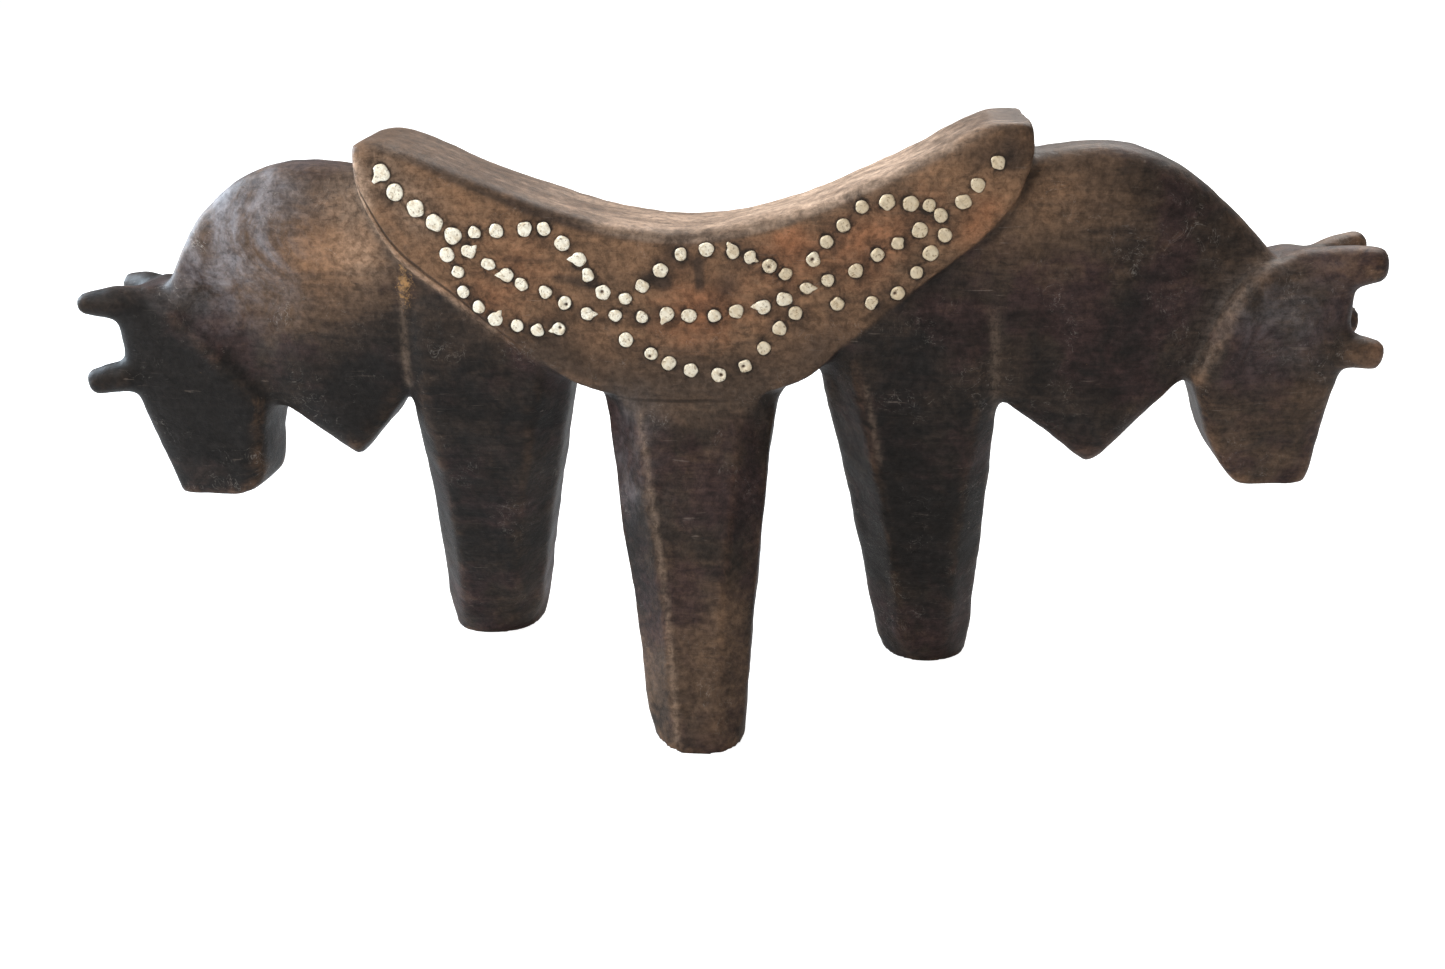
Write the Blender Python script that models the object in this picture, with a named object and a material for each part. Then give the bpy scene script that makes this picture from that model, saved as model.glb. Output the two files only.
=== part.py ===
"""A carved three-legged headrest with two bulls, its seat studded with metal plugs.

The wood is one block: a crescent seat between two bulls with lowered heads, on three
eight-sided legs.  The front leg leans forward and the two rear legs lean back, so the feet
make a tripod.  Cut pieces of soft white metal wire are driven into holes drilled in the
front face of the seat and hammered flat, in chains that wander and loop along the face.

X runs along the bulls, Y from front to back and Z up, with the origin on the floor under
the middle.  The lengths below are in millimetres; MM turns them into metres.
"""

import math

import bmesh
import bpy
from mathutils import Vector

MM = 0.001

# Driving dimensions ---------------------------------------------------------------------
SEAT_HALF_DEPTH = 18.5
SEAT_EDGE_ROUND = 3.5
BODY_HALF_DEPTH = 16.0
BODY_EDGE_ROUND = 6.0
EDGE_STEPS = 2
CURVE_STEPS = 2

PLUG_SIDES = 8
PLUG_GAP = 0.3
PLUG_SHANK_RADIUS = 1.5
PLUG_HEAD_RADIUS = 2.1
PLUG_DOME_RADIUS = 1.4
PLUG_HEAD_HEIGHT = 0.7
PLUG_SHANK_LENGTH = 6.5
SOCKET_RADIUS = PLUG_SHANK_RADIUS + PLUG_GAP
SOCKET_DEPTH = PLUG_SHANK_LENGTH + PLUG_GAP
SOCKET_OVERCUT = 2.0

FOOT_EDGE_HEIGHT = 1.6
FOOT_EDGE_INSET = 1.2

WOOD_COLOUR = (0.060, 0.036, 0.024)
WOOD_ROUGHNESS = 0.5
METAL_COLOUR = (0.72, 0.68, 0.58)
METAL_ROUGHNESS = 0.4

# The saddle of the seat from tip to tip, and its belly from the right tip back to the left.
SEAT_SADDLE = [
    (-105.5, 190.5), (-99, 192.6), (-91, 191.8), (-70, 182), (-46, 172.3), (-22, 166.5),
    (2, 165.4), (26, 169.8), (50, 178.6), (70, 188.5), (82, 195), (90, 198), (99.5, 197.5),
]
SEAT_BELLY = [
    (101, 188), (96.5, 175), (87, 163), (70, 149.5), (50, 134), (32, 118), (0, 109),
    (-32, 113.5), (-54, 124.5), (-78, 143), (-94, 155), (-103, 170), (-106.5, 182),
]

# Each bull's back from the seat to the poll, then the throat, the pointed brisket and the
# part that is buried in the seat.
LEFT_BACK = [
    (-98, 181), (-112, 183), (-125, 183.5), (-139, 181), (-152, 175.5), (-163.5, 166.5),
    (-171.5, 156), (-177, 145),
]
LEFT_THROAT = [(-182, 134), (-178, 116), (-160, 107), (-143, 105.5)]
LEFT_BRISKET = [(-122, 90), (-118.5, 88), (-107.5, 100), (-97, 110)]
LEFT_ROOT = [(-84, 118), (-78, 150)]
RIGHT_BACK = [
    (94, 184.5), (107, 187.8), (120, 188.7), (134, 186.8), (149, 179.5), (164, 168),
    (179, 154.5),
]
RIGHT_THROAT = [(186, 146), (184, 130), (170, 119), (153, 118)]
RIGHT_BRISKET = [(130, 92.5), (126, 89.5), (121, 92), (109, 101), (96, 110.5)]
RIGHT_ROOT = [(84, 118), (78, 150)]

# Columns are stacks of eight-sided levels: height, left, right, front, back, corner cut.
LEFT_HEAD = [
    (71.5, -186, -165, -10, 10, 2.5), (74, -187.5, -158.5, -11, 11, 3),
    (77, -188, -156.5, -11.2, 11.2, 4), (104, -194, -152, -12.5, 12.5, 4),
    (128, -196.5, -150, -13.5, 13.5, 5), (141, -196, -156, -13, 13, 5),
    (145.5, -192, -164, -9, 9, 5),
]
RIGHT_HEAD = [
    (82, 172, 194.5, -10, 10, 2.5), (84, 170, 196, -11, 11, 3),
    (90, 166.5, 196.3, -11.5, 11.5, 4), (107, 160, 197.5, -12.5, 12.5, 4),
    (128, 157, 200, -13.5, 13.5, 5), (147, 163, 200.5, -13.5, 13.5, 5),
    (154, 172, 198, -12.5, 12.5, 5), (158, 180, 193, -8, 8, 4),
]
FRONT_LEG = [
    (0, -15.5, 14.5, -54.5, -23.5, 9.5), (111, -31.5, 24.5, -19.5, 17, 10),
    (124, -32, 25, -18, 18, 10),
]
LEFT_LEG = [
    (0, -107.5, -72.5, 20.5, 54.5, 10.5), (113, -100, -45, -14, 20, 11),
    (151, -94.5, -42, -16.6, 16.6, 8),
]
RIGHT_LEG = [
    (0, 61, 93.5, 8.5, 42.5, 10.5), (113, 40.5, 97.5, -14, 20, 11),
    (151, 37, 94, -16.6, 16.6, 8),
]

# Horns and ears stick out of the poll: root, tip, root radius, tip radius.
HORNS = {
    "left_near_horn": ((-186, -10, 139.5), (-208.3, -13.5, 141.6), 6.8, 2.6),
    "left_far_horn": ((-186, 10, 139.5), (-205, 13.5, 142.5), 6.4, 3.2),
    "left_near_ear": ((-186, -10, 115.8), (-210.4, -13.5, 114), 5.8, 3),
    "left_far_ear": ((-186, 10, 115.8), (-210, 13.5, 114.6), 5.8, 3),
    "right_near_horn": ((190, -10, 153), (207.3, -13.5, 154.6), 6.8, 4),
    "right_far_horn": ((190, 10, 153), (209.4, 13.5, 153.6), 6.4, 3.6),
    "right_near_ear": ((190, -10, 127.4), (210.2, -13.5, 127.2), 5.8, 3.8),
    "right_far_ear": ((190, 10, 127.4), (210.2, 13.5, 128), 5.6, 3.4),
}
HORN_SIDES = 8

# Where each plug was driven, chain by chain, across and up the face of the seat.
PLUG_CHAINS = {
    "left_tail": [(-96.5, 185), (-93, 179), (-87, 174), (-81.5, 169.5), (-76, 165.5)],
    "left_loop_top": [
        (-69, 166.5), (-62, 167), (-53, 167.5), (-47, 167.5), (-41.5, 163), (-36.5, 158),
        (-34, 153), (-29.5, 147.5),
    ],
    "left_loop_bottom": [
        (-78.5, 159.5), (-75.5, 154), (-74.5, 147.5), (-70, 142.5), (-65, 138.5),
        (-58, 136.5), (-51.5, 135), (-44.5, 135.5),
    ],
    "middle": [
        (-71.5, 160.5), (-65.5, 156.5), (-60, 153), (-55.5, 150), (-48, 147.5), (-42, 144),
        (-35, 140.5), (-26, 140), (-17.5, 139.5), (-9.5, 140.5), (-2.5, 140), (5.5, 140),
        (12.5, 141.5), (21, 143), (27.5, 145.5), (34.5, 149), (41, 151.5), (49.5, 154.5),
        (56, 159.5), (62, 163), (68.5, 167),
    ],
    "right_loop_top": [
        (36.5, 158), (40.5, 163.5), (45.5, 168.5), (51, 174), (58.5, 175.5), (65.5, 175),
        (71, 174.5), (74.5, 171.5),
    ],
    "right_loop_bottom": [
        (76, 165.5), (72, 160), (68, 154), (62.5, 147.5), (54.5, 144.5), (44, 144),
    ],
    "right_tail": [(81, 175.5), (85, 180.5), (90.5, 187)],
}

# Sockets of the middle loop, whose plugs are finished with the surface.
MIDDLE_LOOP_SOCKETS = [
    (-22.5, 145.5), (-17, 149.5), (-11, 154.5), (-4.5, 159.5), (3.5, 161), (11, 160.5),
    (16.5, 159), (23, 156), (28, 153.5), (31, 141), (26, 136), (21, 129.5), (15, 123.5),
    (6.5, 120.5), (-2.5, 122), (-10, 124.5), (-16, 128), (-23, 132),
]


# Tools ----------------------------------------------------------------------------------
def metres(*coordinates):
    """A point given in millimetres, as a vector in metres."""
    return Vector(coordinates) * MM


def through(points, steps=CURVE_STEPS):
    """A smooth curve (Catmull-Rom) through the points, with some steps between two."""
    count = len(points)
    curve = []
    for index in range(count - 1):
        before = Vector(points[max(index - 1, 0)])
        start = Vector(points[index])
        end = Vector(points[index + 1])
        after = Vector(points[min(index + 2, count - 1)])
        for step in range(steps):
            t = step / steps
            a = 2 * start
            b = end - before
            c = 2 * before - 5 * start + 4 * end - after
            d = 3 * start - before - 3 * end + after
            curve.append((a + b * t + c * t * t + d * t ** 3) / 2)
    curve.append(Vector(points[-1]))
    return curve


def new_object(name, mesh_builder, material=None):
    """An object in the scene with the bmesh's faces, turned to point outwards."""
    bmesh.ops.recalc_face_normals(mesh_builder, faces=mesh_builder.faces)
    mesh = bpy.data.meshes.new(name)
    mesh_builder.to_mesh(mesh)
    mesh_builder.free()
    obj = bpy.data.objects.new(name, mesh)
    if material:
        mesh.materials.append(material)
    bpy.context.scene.collection.objects.link(obj)
    return obj


def as_helper(obj):
    """A shape that is only joined to, or cut from, the block."""
    obj.hide_render = True
    obj.display_type = "WIRE"
    return obj


def board(name, outline, half_depth, edge_round, material=None):
    """A board with this outline in X and Z, its front and back edges rounded."""
    bm = bmesh.new()
    rim = [bm.verts.new(metres(x, -half_depth, z)) for x, z in outline]
    front = bm.faces.new(rim)
    extruded = bmesh.ops.extrude_face_region(bm, geom=[front])["geom"]
    back = [item for item in extruded if isinstance(item, bmesh.types.BMVert)]
    bmesh.ops.translate(bm, verts=back, vec=metres(0, 2 * half_depth, 0))
    around = [edge for edge in bm.edges if edge.verts[0].co.y == edge.verts[1].co.y]
    bmesh.ops.bevel(
        bm, geom=around, offset=edge_round * MM, segments=EDGE_STEPS, profile=0.5,
        affect="EDGES", clamp_overlap=True,
    )
    return new_object(name, bm, material)


def level(height, left, right, front, back, cut):
    """The eight corners of one level of a column."""
    return [
        metres(left, front + cut, height), metres(left + cut, front, height),
        metres(right - cut, front, height), metres(right, front + cut, height),
        metres(right, back - cut, height), metres(right - cut, back, height),
        metres(left + cut, back, height), metres(left, back - cut, height),
    ]


def stack(name, rings, material=None):
    """Closed rings of points joined one to the next, with both ends filled."""
    bm = bmesh.new()
    loops = [[bm.verts.new(point) for point in ring] for ring in rings]
    for lower, upper in zip(loops, loops[1:]):
        for index in range(len(lower)):
            following = (index + 1) % len(lower)
            bm.faces.new((lower[index], lower[following], upper[following], upper[index]))
    bm.faces.new(loops[0])
    bm.faces.new(loops[-1])
    return new_object(name, bm, material)


def column(name, levels):
    """A stack of eight-sided levels."""
    return stack(name, [level(*values) for values in levels])


def leg(name, levels):
    """A column whose foot has its lowest edge taken off."""
    height, left, right, front, back, cut = levels[0]
    _, next_left, next_right, next_front, next_back, _ = levels[1]
    share = FOOT_EDGE_HEIGHT / (levels[1][0] - height)
    sole = (
        height, left + FOOT_EDGE_INSET, right - FOOT_EDGE_INSET, front + FOOT_EDGE_INSET,
        back - FOOT_EDGE_INSET, cut - FOOT_EDGE_INSET / 2,
    )
    above_sole = (
        height + FOOT_EDGE_HEIGHT, left + (next_left - left) * share,
        right + (next_right - right) * share, front, back, cut,
    )
    return column(name, [sole, above_sole] + levels[1:])


def circle(centre, along, radius, sides):
    """Points round a circle that stands across a direction."""
    across = along.orthogonal().normalized()
    other = along.cross(across).normalized()
    turn = 2 * math.pi / sides
    return [
        centre + (across * math.cos(turn * i) + other * math.sin(turn * i)) * radius
        for i in range(sides)
    ]


def horn(name, root, tip, root_radius, tip_radius):
    """A tapered horn or ear with a rounded end."""
    start = metres(*root)
    end = metres(*tip)
    along = (end - start).normalized()
    shoulder = end - along * tip_radius * MM
    middle = (start + end) / 2
    swell = (root_radius + tip_radius) / 2 + 0.4
    stations = [
        (start, root_radius), (middle, swell), (shoulder, tip_radius),
        (end, tip_radius * 0.5),
    ]
    rings = [circle(place, along, radius * MM, HORN_SIDES) for place, radius in stations]
    return stack(name, rings)


def turned(x, z, profile, sides=PLUG_SIDES):
    """Rings along Y round the point (x, z): pairs of depth from the face and radius."""
    face = -SEAT_HALF_DEPTH
    axis = Vector((0, 1, 0))
    return [
        circle(metres(x, face + depth, z), axis, radius * MM, sides)
        for depth, radius in profile
    ]


def finish(name, colour, roughness, metallic):
    """A plain material."""
    material = bpy.data.materials.new(name)
    material.use_nodes = True
    shader = material.node_tree.nodes["Principled BSDF"]
    shader.inputs["Base Color"].default_value = (*colour, 1)
    shader.inputs["Roughness"].default_value = roughness
    shader.inputs["Metallic"].default_value = metallic
    material.diffuse_color = (*colour, 1)
    return material


def combine(target, helper, operation):
    """Joins a helper shape to the target, or cuts it away."""
    modifier = target.modifiers.new(f"{operation.lower()} {helper.name}", "BOOLEAN")
    modifier.operation = operation
    modifier.solver = "EXACT"
    modifier.object = helper


# The sub-parts --------------------------------------------------------------------------
def make_carved_body(wood):
    """The block: seat, bulls and legs grown together, with the drilled sockets."""
    seat_outline = through(SEAT_SADDLE) + through(SEAT_BELLY)
    body = board("carved_body", seat_outline, SEAT_HALF_DEPTH, SEAT_EDGE_ROUND, wood)
    left_outline = through(LEFT_BACK) + through(LEFT_THROAT) + LEFT_BRISKET + LEFT_ROOT
    right_outline = through(RIGHT_BACK) + through(RIGHT_THROAT) + RIGHT_BRISKET + RIGHT_ROOT
    shapes = [
        board("left_bull", left_outline, BODY_HALF_DEPTH, BODY_EDGE_ROUND),
        board("right_bull", right_outline, BODY_HALF_DEPTH, BODY_EDGE_ROUND),
        column("left_head", LEFT_HEAD),
        column("right_head", RIGHT_HEAD),
        leg("front_leg", FRONT_LEG),
        leg("left_leg", LEFT_LEG),
        leg("right_leg", RIGHT_LEG),
    ]
    shapes += [horn(name, *values) for name, values in HORNS.items()]
    for shape in shapes:
        combine(body, as_helper(shape), "UNION")
    combine(body, as_helper(make_drill()), "DIFFERENCE")
    return body


def make_drill():
    """All the sockets as one cutter of separate short cylinders."""
    places = MIDDLE_LOOP_SOCKETS + [place for chain in PLUG_CHAINS.values() for place in chain]
    profile = [(-SOCKET_OVERCUT, SOCKET_RADIUS), (SOCKET_DEPTH, SOCKET_RADIUS)]
    bm = bmesh.new()
    for x, z in places:
        start, end = turned(x, z, profile)
        first = [bm.verts.new(point) for point in start]
        last = [bm.verts.new(point) for point in end]
        for index in range(PLUG_SIDES):
            following = (index + 1) % PLUG_SIDES
            bm.faces.new((first[index], first[following], last[following], last[index]))
        bm.faces.new(first)
        bm.faces.new(last)
    return new_object("drill", bm)


def make_plug(name, x, z, metal):
    """One plug: a wire shank in its socket under a head that was hammered flat."""
    profile = [
        (PLUG_SHANK_LENGTH, PLUG_SHANK_RADIUS), (-PLUG_GAP, PLUG_SHANK_RADIUS),
        (-PLUG_GAP, PLUG_HEAD_RADIUS), (-PLUG_GAP - PLUG_HEAD_HEIGHT, PLUG_DOME_RADIUS),
    ]
    return stack(name, turned(x, z, profile), metal)


def make_plugs(metal):
    """The plugs of every chain, named by their place along it from the left."""
    for chain, places in PLUG_CHAINS.items():
        for number, (x, z) in enumerate(places, start=1):
            make_plug(f"{chain}_plug_{number}", x, z, metal)


def main():
    for obj in list(bpy.data.objects):
        bpy.data.objects.remove(obj, do_unlink=True)
    make_carved_body(finish("carved_wood", WOOD_COLOUR, WOOD_ROUGHNESS, 0.0))
    make_plugs(finish("plug_metal", METAL_COLOUR, METAL_ROUGHNESS, 1.0))


main()
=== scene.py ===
"""The finish of the carved headrest with two bulls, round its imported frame.

Lengths are in millimetres until a mesh is made; X runs along the bulls, Y from the studded
front to the plain back, Z up from the floor.
"""

import bpy
import numpy as np
from mathutils import Matrix, Vector


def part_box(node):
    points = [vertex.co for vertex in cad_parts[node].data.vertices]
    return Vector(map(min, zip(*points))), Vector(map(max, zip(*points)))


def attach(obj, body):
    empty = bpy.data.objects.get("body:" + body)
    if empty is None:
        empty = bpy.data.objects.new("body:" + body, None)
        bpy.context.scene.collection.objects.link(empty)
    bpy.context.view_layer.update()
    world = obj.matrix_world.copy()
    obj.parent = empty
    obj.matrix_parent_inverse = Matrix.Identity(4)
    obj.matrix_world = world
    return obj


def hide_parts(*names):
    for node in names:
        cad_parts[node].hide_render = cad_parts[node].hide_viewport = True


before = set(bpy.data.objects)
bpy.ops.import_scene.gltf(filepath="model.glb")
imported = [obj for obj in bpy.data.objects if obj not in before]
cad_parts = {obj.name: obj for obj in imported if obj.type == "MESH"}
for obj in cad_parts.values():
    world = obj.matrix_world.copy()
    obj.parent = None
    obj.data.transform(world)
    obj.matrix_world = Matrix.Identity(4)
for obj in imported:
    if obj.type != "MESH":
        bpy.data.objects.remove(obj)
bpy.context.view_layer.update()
MM = 0.001


# Seat -----------------------------------------------------------------------------------
# The crescent that carries the neck: the middle of the block of hardwood, hollowed with an
# adze into a saddle, its flat front face left for the plugs and its rims eased with a knife.
SEAT_DEPTH = 18.5
SEAT_ENDS = (-106.5, 101.1)
SEAT_CORNER = 7.0
BELLY_CORNER = 12.0
END_THINNER = 1.8
END_REACH = 1.2
SEAT_ROWS = 120
ROUND_BODY = 72
SADDLE = [
    (-106.5, 191), (-106, 193.6), (-99, 194.2), (-91, 191.7), (-70, 183.2), (-46, 174.4),
    (-22, 168), (2, 166.6), (26, 171.2), (50, 180.2), (70, 189), (82, 195.2), (90, 198.4),
    (98, 198.6), (100.2, 197.3), (101.1, 192),
]
BELLY = [
    (-106.5, 186), (-105.5, 178), (-103, 170), (-94, 155), (-78, 143), (-54, 124),
    (-32, 112.4), (0, 108.5), (32, 116.5), (50, 133), (70, 149.2), (87, 163), (96.5, 175),
    (100.2, 184), (101.1, 188),
]


def spline(points, steps=24):
    """Points on a smooth line through the given ones: between two of them it is the cubic
    that leaves and arrives in the direction from the point before to the point after."""
    p = np.asarray(points, float)
    before = np.vstack([p[:1], p[:-2]])[:, None]
    start = p[:-1][:, None]
    end = p[1:][:, None]
    after = np.vstack([p[2:], p[-1:]])[:, None]
    t = np.linspace(0, 1, steps, endpoint=False)[None, :, None]
    bend = (2 * before - 5 * start + 4 * end - after) * t**2
    twist = (3 * start - before - 3 * end + after) * t**3
    line = (2 * start + (end - before) * t + bend + twist) / 2
    return np.vstack([line.reshape(-1, p.shape[1]), p[-1:]])


def height_along(points, x):
    """Height of the smooth line through the points at each x."""
    line = spline(points)
    return np.interp(x, line[:, 0], line[:, 1])


def squared_circle(power_up, power_down, count=ROUND_BODY):
    """A round loop with squarer shoulders: the cosine and sine of the angle, each raised to
    2 / power with its sign kept. The upper and lower halves have powers of their own."""
    angle = np.linspace(0, 2 * np.pi, count, endpoint=False)
    across, up = np.cos(angle), np.sin(angle)
    power = np.where(up >= 0, power_up, power_down)
    return (
        np.sign(across) * np.abs(across) ** (2 / power),
        np.sign(up) * np.abs(up) ** (2 / power),
    )


def stations(low, high, count):
    """Places from low to high, closer together towards both ends."""
    return (low + high) / 2 - (high - low) / 2 * np.cos(np.linspace(0, np.pi, count))


def slab(x, top, bottom, depth, power_up, power_down):
    """Rings across X: at each x a squared circle between the two heights, as deep each way
    as depth says."""
    across, up = squared_circle(power_up, power_down)
    middle, half = (top + bottom) / 2, (top - bottom) / 2
    return np.stack(
        [
            np.broadcast_to(x[:, None], (len(x), len(across))),
            depth[:, None] * across,
            middle[:, None] + half[:, None] * up,
        ],
        axis=-1,
    )


seat_x = stations(*SEAT_ENDS, SEAT_ROWS)
seat_end = np.minimum(seat_x - SEAT_ENDS[0], SEAT_ENDS[1] - seat_x)
seat_depth = SEAT_DEPTH - END_THINNER * np.exp(-seat_end / END_REACH)
seat_rings = slab(
    seat_x, height_along(SADDLE, seat_x), height_along(BELLY, seat_x), seat_depth,
    SEAT_CORNER, BELLY_CORNER,
)


# Bulls ----------------------------------------------------------------------------------
# The two animals are carved in one with the seat: a humped back, a thick slab of a body
# rounded over its edges, thinner towards the neck, and a brisket that ends in a point.
BODY_DEPTH = 15.4
NECK_DEPTH = 9.6
NECK_FROM_MIDDLE = 164
NECK_LENGTH = 38
BACK_CORNER, CHEST_CORNER = 3.3, 5.0
BULL_ROWS = 110
LEFT_BACK = [
    (-183, 144), (-177.5, 151.5), (-171.5, 161.6), (-163.5, 171.4), (-152, 179.4), (-139, 184.2),
    (-125, 185.4), (-112, 184.2), (-98, 182.4), (-76, 172),
]
LEFT_CHEST = [
    (-183, 136), (-179, 118), (-160, 107), (-143, 103.6), (-123, 87.4), (-120, 85.6),
    (-109, 98.2), (-98, 113), (-84, 118), (-76, 130),
]
RIGHT_BACK = [
    (76, 172), (94, 185.5), (107, 189), (120, 190.3), (134, 188.6), (149, 181.4),
    (164, 169.8), (179, 154.5), (186, 146),
]
RIGHT_CHEST = [
    (76, 130), (84, 118), (96, 109.6), (109, 100.3), (122, 90.5), (126, 87.7),
    (130.5, 91), (142, 104.2), (153, 115.4), (170, 119), (184, 130), (186, 143),
]


def straight(points, x):
    """Height of the line straight from point to point at each x."""
    line = np.asarray(points, float)
    return np.interp(x, line[:, 0], line[:, 1])


def bull(back, chest):
    """Rings of one body: the back is a smooth line, the chest has straight knife cuts, and
    the depth swells on an S-shaped curve from the neck to the body."""
    x = stations(back[0][0], back[-1][0], BULL_ROWS)
    inward = np.clip((NECK_FROM_MIDDLE - np.abs(x)) / NECK_LENGTH, 0, 1)
    depth = NECK_DEPTH + (BODY_DEPTH - NECK_DEPTH) * inward * inward * (3 - 2 * inward)
    return slab(x, height_along(back, x), straight(chest, x), depth, BACK_CORNER, CHEST_CORNER)


left_body = bull(LEFT_BACK, LEFT_CHEST)
right_body = bull(RIGHT_BACK, RIGHT_CHEST)


# Heads ----------------------------------------------------------------------------------
# Each head hangs from the neck with its crown turned outwards: broad cheeks that stand
# proud of the neck along the jaw, a flat forehead and a squared muzzle.
LEFT_FOREHEAD = [
    (70.8, -186), (71.6, -188.4), (77, -190), (104, -195.8), (112, -197.2), (124, -198.2),
    (134, -198), (141, -196), (145, -192), (146.6, -188),
]
LEFT_JAW = [
    (70.8, -168), (71.6, -164.5), (74, -159.2), (79, -156.4), (92, -154), (104, -150.5),
    (109, -149.5), (118, -156), (130, -166), (140, -176), (146.6, -184),
]
RIGHT_FOREHEAD = [
    (81.4, 192), (82.2, 196), (87, 197.4), (107, 198.8), (118, 200.2), (128, 201.2),
    (140, 201.6), (148, 201), (153, 198), (155.5, 193), (156.8, 187),
]
RIGHT_JAW = [
    (81.4, 177), (82.2, 174), (86, 170.4), (91, 166.8), (98, 163), (107, 160),
    (114, 157), (119.5, 154.4), (125, 157.2), (133, 160), (142, 162.8), (150, 168),
    (154, 174), (156.8, 182),
]
LEFT_CHEEK_DEPTH = [
    (70.8, 10), (74, 11.4), (90, 12.4), (108, 14), (128, 14.2), (140, 13), (146.6, 9),
]
RIGHT_CHEEK_DEPTH = [
    (81.4, 10), (84.5, 11.4), (97, 12.6), (116, 14.6), (140, 15), (150, 13.6), (156.8, 9),
]
FOREHEAD_CORNER, JAW_CORNER = 5.0, 8.0
HEAD_ROWS = 90


def head(forehead, jaw, cheek):
    """Rings across Z: at each height a squared circle from jaw to forehead, as deep each
    way as the cheek line says."""
    z = stations(forehead[0][0], forehead[-1][0], HEAD_ROWS)
    across, out = squared_circle(FOREHEAD_CORNER, JAW_CORNER)
    front, back = height_along(forehead, z), height_along(jaw, z)
    middle, half = (front + back) / 2, (front - back) / 2
    return np.stack(
        [
            middle[:, None] + half[:, None] * out,
            height_along(cheek, z)[:, None] * across,
            np.broadcast_to(z[:, None], (len(z), len(across))),
        ],
        axis=-1,
    )


left_head = head(LEFT_FOREHEAD, LEFT_JAW, LEFT_CHEEK_DEPTH)
right_head = head(RIGHT_FOREHEAD, RIGHT_JAW, RIGHT_CHEEK_DEPTH)


# Horns and ears -------------------------------------------------------------------------
# Two horns and two ears stand out of each crown, whittled to blunt cones; the left bull's
# rear horn is worn shorter. Left bull first, each has its front horn, rear horn, front ear and
# rear ear, as three points of the middle line and the radius at each.
TIP_LENGTH = 0.75
TIP_ROUND = 2.6
ROUND_HORN = 28
HORN_PATHS = [
    ([(-182, -5, 139), (-197, -10.6, 141), (-208.6, -13.8, 141.6)], [6.8, 6.0, 2.8]),
    ([(-182, 5, 138.8), (-196, 10.6, 141.0), (-205, 13.6, 141.4)], [6.2, 5.4, 3.4]),
    ([(-184, -5, 116.6), (-198, -10.6, 115.6), (-210.6, -13.5, 113.8)], [6.8, 5.8, 4.0]),
    ([(-184, 5, 117), (-198, 10.6, 116), (-210, 13.5, 114.6)], [6.2, 5.4, 3.8]),
    ([(186, -5, 150.8), (198, -10.6, 153.8), (208.4, -13.8, 155.8)], [7.6, 6.9, 5.0]),
    ([(188, 5, 149), (200, 11, 153.6), (209.6, 13.8, 156.2)], [5.6, 4.9, 3.8]),
    ([(188, -5, 127.6), (201, -11, 128.2), (211, -13.6, 127)], [7.2, 5.4, 4.0]),
    ([(188, 5, 129.6), (200, 10.8, 130.2), (211.4, 13.8, 130.2)], [6.2, 5.4, 4.4]),
]


def horn(path, radii):
    """Rings along a smooth path, each across the path's direction. The radius runs straight
    from one value to the next and closes like a ball over a share of itself at the tip."""
    line = spline(path, 16)
    size = np.interp(np.linspace(0, 2, len(line)), [0, 1, 2], radii)
    along = np.gradient(line, axis=0)
    along /= np.linalg.norm(along, axis=1, keepdims=True)
    left = np.linalg.norm(line - line[-1], axis=1)
    closing = np.clip(1 - left / (radii[-1] * TIP_LENGTH), 0, 1)
    size *= (1 - closing**TIP_ROUND) ** 0.5 + 1e-3
    side = np.cross(along, [0.0, 0.0, 1.0])
    side /= np.linalg.norm(side, axis=1, keepdims=True)
    rise = np.cross(side, along)
    angle = np.linspace(0, 2 * np.pi, ROUND_HORN, endpoint=False)[None, :, None]
    spread = side[:, None] * np.cos(angle) + rise[:, None] * np.sin(angle)
    return line[:, None] + spread * size[:, None, None]


horns = [horn(path, radii) for path, radii in HORN_PATHS]


# Legs -----------------------------------------------------------------------------------
# Three legs taper to the feet, with eight sides struck by the adze and rubbed nearly round:
# the front one leans forward out of the belly of the seat, the rear pair leans back.
# Levels: height, left, right, front, back, corner cut on the left and on the right.
FRONT_LEG = [
    (0, -15.4, 13.8, -54.2, -24.3, 10, 7), (1.6, -16.8, 15.1, -55, -23, 11, 7),
    (40, -22.8, 17.4, -42.2, -9.6, 13, 8), (60, -26, 19.0, -35.8, -1.5, 13, 9),
    (104, -33.3, 24.2, -21.6, 14.5, 13, 9.5), (110, -34.4, 25.8, -19.6, 17, 12, 9),
    (116, -36.4, 30, -18.3, 18, 9, 8), (121, -39, 36, -17.8, 18, 6, 6),
]
LEFT_LEG = [
    (0, -106.6, -73, 21.3, 53.8, 9, 8), (1.6, -107.4, -71.4, 19.8, 54.6, 9, 8),
    (60, -102.9, -58.2, 2, 36.4, 9, 10), (106, -98.9, -46.4, -13, 22, 5, 11),
    (122, -96.8, -42.2, -16.6, 18.2, 3.5, 11), (140, -95.2, -39, -16.6, 17.4, 3, 8),
    (160, -93, -36, -12, 13, 3, 6),
]
RIGHT_LEG = [
    (0, 63, 93.1, 9.3, 41.4, 9, 9), (1.6, 61.6, 94.4, 7.8, 42.4, 9, 9),
    (60, 49.9, 95.2, -3.6, 30.4, 13, 8), (106, 40.4, 96.6, -13.6, 20.8, 13, 6),
    (122, 37.6, 95.4, -16.6, 18.2, 12, 5), (140, 35.6, 94.2, -16.6, 17.4, 8, 5),
    (162, 34, 92.6, -12, 13, 6, 4),
]
SOLE_CRISP = 7
CRISP_FROM, CRISP_OVER = 3, 22
FRONT_CRISP, LEFT_CRISP, RIGHT_CRISP = 60.0, 40.0, 50.0
ROUND_LEG = 64


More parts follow.
